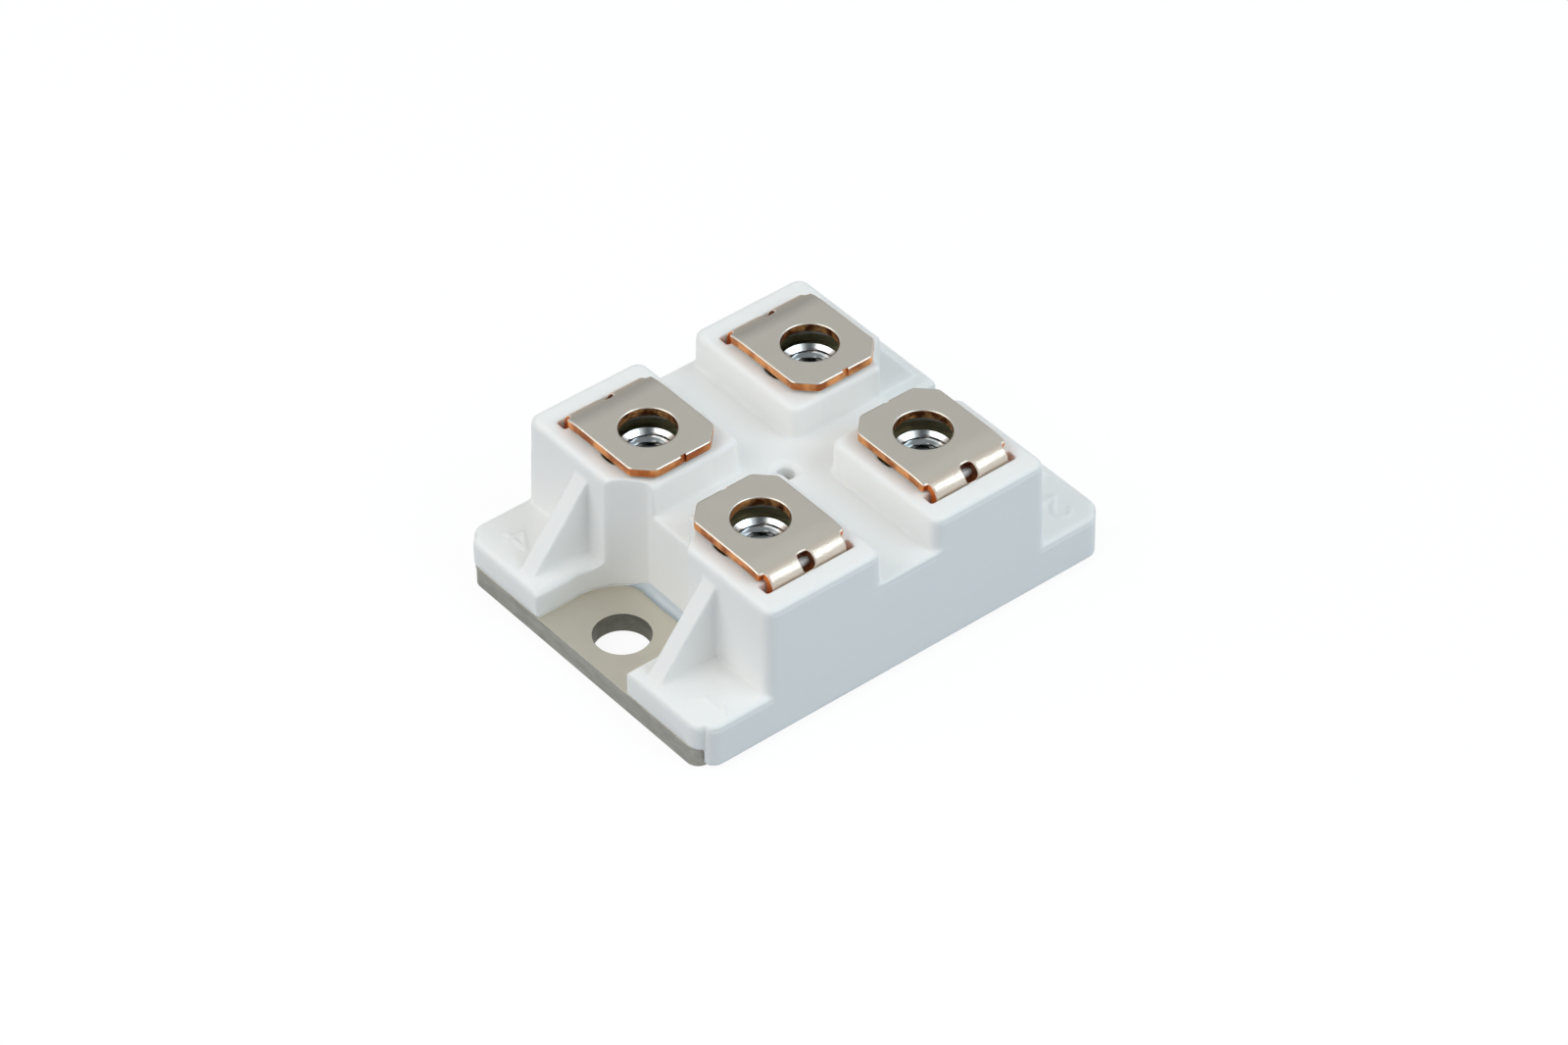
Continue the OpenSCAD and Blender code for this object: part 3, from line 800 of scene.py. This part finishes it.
def strip_outlines():
    """The blank's outline, screw hole and window, before it is bent."""
    narrow = strip_half - RELIEF_DEPTH
    relief_end = bend_end + RELIEF_LEG
    shoulder = bend_end + bend_low_z - SHOULDER_Z
    right = [
        (strip_half - TIP_CHAMFER, 0), (strip_half, TIP_CHAMFER), (strip_half, sag_end),
        (narrow, sag_end), (narrow, relief_end), (strip_half, relief_end),
        (strip_half, shoulder), (FOOT_HALF, shoulder), (FOOT_HALF, foot_end),
    ]
    outline = right + [(-x, s) for x, s in reversed(right)]
    turn = np.linspace(0, 2 * math.pi, SCREW_HOLE_POINTS, endpoint=False)
    hole = list(zip(SCREW_HOLE_R * np.cos(turn), TIP_LEN + SCREW_HOLE_R * np.sin(turn)))
    window_low, window_high = sag_end - WINDOW_RUN, bend_end
    window = [(-WINDOW_HALF, window_low), (WINDOW_HALF, window_low),
              (WINDOW_HALF, window_high), (-WINDOW_HALF, window_high)]
    return (soft_corners(outline, OUTLINE_CORNER), hole,
            soft_corners(window, WINDOW_CORNER, WINDOW_STEPS))


def strip_blank():
    """The flat blank, rounded at its punched edges and cut across where it will bend."""
    curve = bpy.data.curves.new("strip_blank", "CURVE")
    curve.dimensions = "2D"
    curve.fill_mode = "BOTH"
    curve.extrude = STRIP_T / 2 - STRIP_EDGE
    curve.bevel_depth = STRIP_EDGE
    curve.bevel_resolution = 3
    curve.offset = -STRIP_EDGE
    for outline in strip_outlines():
        spline = curve.splines.new("POLY")
        spline.points.add(len(outline) - 1)
        spline.points.foreach_set("co", [v for x, s in outline for v in (x, s, 0.0, 1.0)])
        spline.use_cyclic_u = True
    drawn = new_object("strip_blank", curve)
    mesh = evaluated_mesh(drawn)
    bpy.data.objects.remove(drawn)
    work = bmesh.new()
    work.from_mesh(mesh)
    bmesh.ops.remove_doubles(work, verts=work.verts, dist=WELD)
    bmesh.ops.recalc_face_normals(work, faces=work.faces)
    cuts = np.concatenate([
        np.linspace(flat_end, sag_end, SAG_CUTS),
        np.linspace(sag_end, bend_end, BEND_CUTS)[1:],
        np.linspace(foot_bend, foot_start, FOOT_CUTS)])
    for length in cuts:
        everything = work.verts[:] + work.edges[:] + work.faces[:]
        bmesh.ops.bisect_plane(
            work, geom=everything, dist=CUT_SLACK, plane_co=(0, length, 0), plane_no=(0, 1, 0))
    return sheared(plain_mesh(work, "strip_blank"))


def sheared(blank):
    """The blank with a notch in its free end, where it was cut from its carrier."""
    notch_half, notch_depth = TIP_NOTCH
    work = bmesh.new()
    bmesh.ops.create_cube(work, size=2.0)
    bmesh.ops.scale(work, vec=(notch_half, notch_depth, STRIP_T), verts=work.verts)
    cutter = new_object("shear", plain_mesh(work, "shear"))
    made = new_object("sheared", blank)
    mesh = joined(made, "DIFFERENCE", [cutter])
    bpy.data.objects.remove(made)
    return mesh


def blank_zones(mesh):
    """Plated faces, punched edges, the cuts at the bend whose walls are coloured as painted shade,
    and the screw hole's wall.
    """
    middles, normals = face_places(mesh)
    x, length = middles[:, 0], middles[:, 1]
    lowest, highest = PUNCHED_FACING
    punched = (normals[:, 2] < highest) & (normals[:, 2] > lowest)
    from_window = np.abs(length - (sag_end + bend_end) / 2)
    in_window = (np.abs(x) < WINDOW_AREA) & (from_window < WINDOW_AREA)
    in_hole = np.hypot(x, length - TIP_LEN) < SCREW_HOLE_R + BORE_RIM
    zones = np.where(punched, EDGE, PLAIN)
    # The window's walls are coloured as painted shade
    zones[punched & in_window] = PAINTED_SHADE
    zones[punched & in_hole] = BORE
    return zones


def bent_strip_tree():
    """Lets a flat blank sag to its bend, down its leg and into its foot, on its terminal."""
    tree, value = new_tree("bent_strip", {
        "Blank": "Geometry", "Flat length": "Float", "Sag radius": "Float", "Sag angle": "Float",
        "Bend radius": "Float", "Leg length": "Float", "Middle": "Float", "Side": "Float",
        "Tip": "Float", "Height": "Float", "Finish": "Material"}, "Strip")
    place = add_node(tree, "GeometryNodeInputPosition")
    across, along, through = (
        place.node("ShaderNodeSeparateXYZ", None, {"Vector": place}, axis) for axis in "XYZ")
    sag_r, bend_r = value["Sag radius"], value["Bend radius"]

    def past(start, most):
        """How much of the strip lies past a place, up to a most."""
        return (along - start).math("MAXIMUM", 0.0).math("MINIMUM", most)

    sag_len = sag_r * value["Sag angle"]
    bend_len = bend_r * (math.pi / 2 - value["Sag angle"])
    foot_bend_len = bend_r * (math.pi / 2)
    bend_from = value["Flat length"] + sag_len
    leg_from = bend_from + bend_len
    foot_from = leg_from + value["Leg length"]
    sag = past(value["Flat length"], sag_len) / sag_r
    bend = sag + past(bend_from, bend_len) / bend_r
    foot = past(foot_from, foot_bend_len) / bend_r
    turn = bend + foot
    out = past(0.0, value["Flat length"]) + (sag_r - bend_r) * sag.math("SINE")
    out = out + bend_r * (bend.math("SINE") + foot.math("COSINE") - 1)
    out = out - past(foot_from + foot_bend_len, FOOT_LEN) + through * turn.math("SINE")
    height = value["Height"] - sag_r + (sag_r - bend_r) * sag.math("COSINE")
    height = height + bend_r * (bend.math("COSINE") - foot.math("SINE"))
    height = height - past(leg_from, value["Leg length"]) + through * turn.math("COSINE")
    bent = add_node(tree, "ShaderNodeCombineXYZ", None, {
        "X": value["Middle"] + value["Side"] * across,
        "Y": value["Side"] * (value["Tip"] + out), "Z": height})
    strip = add_node(tree, "GeometryNodeSetPosition", None, {
        "Geometry": value["Blank"], "Position": bent})
    return finish_tree(tree, strip, value["Finish"], "Strip")


def terminal_strips():
    """One bent strip on each tower, all from the same blank."""
    blank = strip_blank()
    mark_zones(blank, blank_zones(blank))
    tree = bent_strip_tree()
    for number, (end, side) in TERMINALS.items():
        made = new_object(f"terminal_strip_{number}", blank.copy())
        apply_tree(made, tree, {
            "Flat length": flat_end, "Sag radius": SAG_R, "Sag angle": SAG_ANGLE,
            "Bend radius": BEND_R, "Leg length": leg_len,
            "Middle": end * screw_pitch_x / 2, "Side": float(side), "Tip": strip_low.y,
            "Height": strip_mid_z, "Finish": FINISHES["plated_strip"]})
        dress(made, "plated_strip", f"terminal_{number}")


# Base plate and adhesive

PLATE_EDGE = 0.06
PLATE_EDGE_STEPS = 3
PLATE_EDGE_ANGLE = math.radians(40)
UPRIGHT_FACING = 0.95
HOLE_RIM = 0.3

# Recesses, and the bead at the foot of their back walls
RECESS_WALL_X = 10.6
SCOOP_R = 5.2
WALL_SLACK = 0.005
BEAD_REACH = 0.64
BEAD_FULL_Y = 2.2
BEAD_END_Y = 4.0
BEAD_LEAST = 0.03
BEAD_TAPER = 0.8
BEAD_BULGE = 1.25
BEAD_ROOT = 0.15
BEAD_ROWS = 57
BEAD_STEPS = 14

# Waves in the bead's foot, and swells in its height
BEAD_WAVE = 0.012
BEAD_WAVE_RATE = 2.3
BEAD_SWELL = 0.05
BEAD_SWELL_RATE = 0.8
BEAD_SWELL_START = 0.4


def mounting_plate():
    """The base plate with its edges broken, and its sides and holes marked."""
    made = new_object("mounting_plate", merged_copy("base_plate"))
    modifier = made.modifiers.new("edges", "BEVEL")
    modifier.width = PLATE_EDGE
    modifier.segments = PLATE_EDGE_STEPS
    modifier.limit_method = "ANGLE"
    modifier.angle_limit = PLATE_EDGE_ANGLE
    mesh = settle(made)
    middles, normals = face_places(mesh)
    upright = np.abs(normals[:, 2]) < UPRIGHT_FACING
    reach = np.hypot(np.abs(middles[:, 0]) - hole_x, middles[:, 1])
    in_hole = reach < hole_r + HOLE_RIM
    # Hole walls take the zone darkened as painted shade; sides and bevels take one whose colour is
    # partly painted shade
    mark_zones(mesh, np.where(upright, np.where(in_hole, PAINTED_SHADE, EDGE), PLAIN))
    return dress(made, "plated_base", "base_plate")


def bead_mesh(end):
    """A swelling of adhesive along the back wall of one recess, thin at its two ends."""
    lean = np.linspace(0, math.pi / 2, BEAD_STEPS)
    rows = []
    for y in BEAD_END_Y * np.sin(np.linspace(-math.pi / 2, math.pi / 2, BEAD_ROWS)):
        wall = max(RECESS_WALL_X, hole_x - math.sqrt(SCOOP_R ** 2 - y * y))
        spent = fade(abs(y) - BEAD_FULL_Y, BEAD_END_Y - BEAD_FULL_Y)
        fullness = max(1 - spent * spent * (3 - 2 * spent), BEAD_LEAST)
        wave = BEAD_WAVE * math.sin(BEAD_WAVE_RATE * y)
        swell = BEAD_SWELL * math.sin(BEAD_SWELL_RATE * y * end + BEAD_SWELL_START)
        reach = BEAD_REACH * fullness + wave * fullness
        height = BEAD_H * fullness ** BEAD_TAPER * (1 - swell)
        x = np.concatenate([wall + reach * np.sin(lean), [wall - BEAD_ROOT, wall - BEAD_ROOT]])
        z = np.concatenate([height * np.cos(lean) ** BEAD_BULGE, [0, height]])
        rows.append(np.stack([end * x, np.full(len(x), y), plate_high.z + z], axis=1))
    ring = len(rows[0])
    ends = [tuple(range(ring)), tuple(range((len(rows) - 1) * ring, len(rows) * ring))]
    return ring_mesh("bead", rows, ends + ring_faces(len(rows), ring, closed=False))


def adhesive_bead():
    """The film under the housing, joined with the bead that it leaves in each recess."""
    made = new_object("adhesive_bead", merged_copy("sealing_adhesive"))
    beads = [new_object("bead", bead_mesh(end)) for end in (-1, 1)]
    mesh = joined(made, "UNION", beads)
    middles, _ = face_places(mesh)
    x, y = np.abs(middles[:, 0]), middles[:, 1]
    in_scoop = np.hypot(x - hole_x, y) < SCOOP_R - WALL_SLACK
    in_recess = in_scoop & (x > RECESS_WALL_X + WALL_SLACK)
    mark_zones(mesh, np.where(in_recess, EDGE, PLAIN))
    return dress(made, "adhesive", "sealing_adhesive", smooth_angle=50.0, level=False)


# Captive nuts

NUT_SINK_R = 2.3
NUT_CORNER_R = 3.66
THREAD_ROOT_R = 2.02
THREAD_PITCH = 0.7
THREAD_SLOPE = 3
THREAD_CREST = 0.2
THREAD_ROWS = 44
RING = 72
LEVEL_FACING = 0.99
ROOT_SLACK = 0.01
SINK_SLACK = 0.05


def nut_rows():
    """Rings of points round a nut, up its thread, over the top, down its flats and back."""
    height = nut_high.z - nut_low.z
    flat_r = NUT_ACROSS_FLATS / 2
    turn = np.arange(RING) * 2 * math.pi / RING
    hexagon = np.minimum(flat_r / np.cos(turn % (math.pi / 3) - math.pi / 6), NUT_CORNER_R)
    drop = (hexagon - flat_r) / 2
    rows = []
    for z in np.linspace(0, height, THREAD_ROWS):
        phase = (z / THREAD_PITCH + turn / (2 * math.pi)) % 1
        groove = np.clip(THREAD_SLOPE * np.abs(phase - 0.5) - THREAD_CREST, 0, 1)
        ridge = thread_crest_r + (THREAD_ROOT_R - thread_crest_r) * groove
        sink = NUT_SINK_R - min(z, height - z)
        rows.append((np.maximum(ridge, sink), np.full(RING, z)))
    level = np.ones(RING)
    rows.append((flat_r * level, height * level))
    rows.append((hexagon, height - drop))
    rows.append((hexagon, drop))
    rows.append((flat_r * level, 0 * level))
    return [np.stack([r * np.cos(turn), r * np.sin(turn), z], axis=1) for r, z in rows]


def nut_mesh():
    """One nut, with its level faces and its thread marked."""
    rows = nut_rows()
    mesh = ring_mesh("nut", rows, ring_faces(len(rows), RING, closed=True))
    middles, normals = face_places(mesh)
    height = nut_high.z - nut_low.z
    from_ends = np.minimum(middles[:, 2], height - middles[:, 2])
    in_bore = np.hypot(middles[:, 0], middles[:, 1]) < THREAD_ROOT_R + ROOT_SLACK
    # Level faces and the thread below the countersinks take zones that the finish darkens as
    # painted shade
    zones = np.where(np.abs(normals[:, 2]) > LEVEL_FACING, EDGE, PLAIN)
    zones[in_bore & (from_ends > NUT_SINK_R - thread_crest_r - SINK_SLACK)] = PAINTED_SHADE
    mark_zones(mesh, zones)
    return mesh


def nut_tree():
    """Sets one nut under each terminal."""
    tree, value = new_tree("nuts_under_terminals", {
        "Nut": "Geometry", "Pitch along": "Float", "Pitch across": "Float",
        "Height": "Float", "Finish": "Material"}, "Nuts")
    grid = add_node(tree, "GeometryNodeMeshGrid", None, {
        "Size X": value["Pitch along"], "Size Y": value["Pitch across"],
        "Vertices X": 2, "Vertices Y": 2})
    lift = add_node(tree, "ShaderNodeCombineXYZ", None, {"Z": value["Height"]})
    raised = add_node(tree, "GeometryNodeSetPosition", None, {"Geometry": grid, "Offset": lift})
    copies = add_node(tree, "GeometryNodeInstanceOnPoints", None, {
        "Points": raised, "Instance": value["Nut"]})
    return finish_tree(tree, copies, value["Finish"], "Nuts")


def captive_nuts():
    """The four nuts, one in each tower's pocket."""
    made = new_object("captive_nuts", nut_mesh())
    apply_tree(made, nut_tree(), {
        "Pitch along": screw_pitch_x, "Pitch across": screw_pitch_y,
        "Height": nut_low.z, "Finish": FINISHES["zinc_steel"]})
    return dress(made, "zinc_steel", "terminal_nuts", smooth_angle=28.0)


# Build

def finish_nodes():
    """Gives each CAD node the finish of its slot."""
    for part in record["subparts"]:
        mesh = nodes[part["node"]].data
        mesh.materials.clear()
        mesh.materials.append(FINISHES[part["material_slot"]])


moulded_housing()
mounting_plate()
adhesive_bead()
captive_nuts()
terminal_strips()
finish_nodes()


# Studio

FLOOR_SIZE = 3.0
FLOOR_GAP = 0.02 * MM
FLOOR_WHITE = 0.88
FLOOR_GLOW = 1.03
FLOOR_PAPER = rgba(0.9, 0.9, 0.9)
FLOOR_BOUNCE = rgba(0.33, 0.38, 0.43)


def white_floor():
    """A floor that is white in the picture and keeps a soft shadow."""
    material = bpy.data.materials.new("white_floor")
    material.use_nodes = True
    tree = material.node_tree
    tree.nodes.clear()
    path = tree.nodes.new("ShaderNodeLightPath").outputs
    seen = Wire(tree, path["Is Camera Ray"]) + Wire(tree, path["Is Glossy Ray"])
    seen = (seen + Wire(tree, path["Is Transmission Ray"])).math("MINIMUM", 1.0)
    paper = add_node(tree, "ShaderNodeBsdfDiffuse", None, {
        "Color": blend(seen, FLOOR_BOUNCE, FLOOR_PAPER)})
    glow = add_node(tree, "ShaderNodeEmission", None, {
        "Color": rgba(1.0, 1.0, 1.0), "Strength": FLOOR_GLOW})
    mixed = add_node(tree, "ShaderNodeMixShader", None, {0: seen * FLOOR_WHITE, 1: paper, 2: glow})
    add_node(tree, "ShaderNodeOutputMaterial", None, {"Surface": mixed})
    mesh = bpy.data.meshes.new("floor")
    half = FLOOR_SIZE / 2
    corners = [(-half, -half, -FLOOR_GAP), (half, -half, -FLOOR_GAP),
               (half, half, -FLOOR_GAP), (-half, half, -FLOOR_GAP)]
    mesh.from_pydata(corners, [], [(0, 1, 2, 3)])
    mesh.materials.append(material)
    new_object("floor", mesh)


DOME_STOPS = [
    (0.0, rgba(0.36, 0.40, 0.43)),
    (0.3, rgba(0.51, 0.53, 0.54)),
    (0.62, rgba(0.73, 0.75, 0.755)),
    (0.85, rgba(0.55, 0.57, 0.575)),
    (1.0, rgba(0.55, 0.57, 0.575)),
]
DARK_SIDE = Vector((0.622, 0.757, 0.202))
DARK_SHARE = 0.65
DARK_SPREAD = (0.84, 1.0)
DARK_COLOUR = rgba(0.02, 0.02, 0.02)
CAMERA_SHADE = 0.97
CAMERA_SPREAD = (0.93, 0.98)
CAMERA_COLOUR = rgba(0.01, 0.02, 0.03)


def soft_dome():
    """A pale dome that is plain white in the picture, darker low behind and at the camera."""
    world = bpy.data.worlds.new("soft_dome")
    bpy.context.scene.world = world
    world.use_nodes = True
    tree = world.node_tree
    tree.nodes.clear()
    ray = Wire(tree, tree.nodes.new("ShaderNodeTexCoord").outputs["Generated"])

    def toward(direction, low, high):
        """1 where a ray points along a direction, 0 away from it."""
        dot = ray.node("ShaderNodeVectorMath", {"operation": "DOT_PRODUCT"},
                       {0: ray, 1: direction}, output="Value")
        return dot.step(low, high)

    height = ray.node("ShaderNodeSeparateXYZ", None, {"Vector": ray}, "Z")
    pale = height.node("ShaderNodeValToRGB", {"stops": DOME_STOPS}, {"Fac": height})
    behind = DARK_SHARE * toward(DARK_SIDE, *DARK_SPREAD)
    at_camera = CAMERA_SHADE * toward(CAMERA_SIDE, *CAMERA_SPREAD)
    dome = blend(at_camera, blend(behind, pale, DARK_COLOUR), CAMERA_COLOUR)
    seen = Wire(tree, tree.nodes.new("ShaderNodeLightPath").outputs["Is Camera Ray"])
    sky = add_node(tree, "ShaderNodeBackground", None, {
        "Color": blend(seen, dome, rgba(1.0, 1.0, 1.0))})
    add_node(tree, "ShaderNodeOutputWorld", None, {"Surface": sky})


def softbox(name, direction, distance, size, power, colour):
    """A rectangle of light that faces the module from a direction."""
    light = bpy.data.lights.new(name, "AREA")
    light.shape = "RECTANGLE"
    light.size, light.size_y = size
    light.energy = power
    light.color = colour
    made = new_object(name, light)
    place = Vector(direction).normalized() * distance
    made.location = place + CAMERA_TARGET
    made.rotation_euler = place.to_track_quat("Z", "Y").to_euler()


def camera():
    """The camera where the photograph was taken, with its lens and the frame's offset."""
    lens = bpy.data.cameras.new("camera")
    lens.sensor_width = SENSOR_W
    lens.lens = FOCAL_PX * SENSOR_W / IMAGE_W
    lens.shift_x = -PRINCIPAL_X_PX / IMAGE_W
    lens.shift_y = -PRINCIPAL_Y_PX / IMAGE_W
    lens.clip_start = 0.01
    made = new_object("camera", lens)
    made.location = CAMERA_TARGET + CAMERA_SIDE * CAMERA_DISTANCE
    made.rotation_euler = CAMERA_SIDE.to_track_quat("Z", "Y").to_euler()
    bpy.context.scene.camera = made


white_floor()
soft_dome()
softbox("left_box", direction=(-0.78, 0.22, 0.58), distance=0.30, size=(0.30, 0.25),
        power=0.34, colour=(1.0, 0.975, 0.95))
softbox("right_box", direction=(0.40, -0.62, 0.66), distance=0.60, size=(0.45, 0.30),
        power=1.25, colour=(0.77, 0.91, 1.0))
camera()
bpy.context.scene.view_settings.view_transform = "Standard"
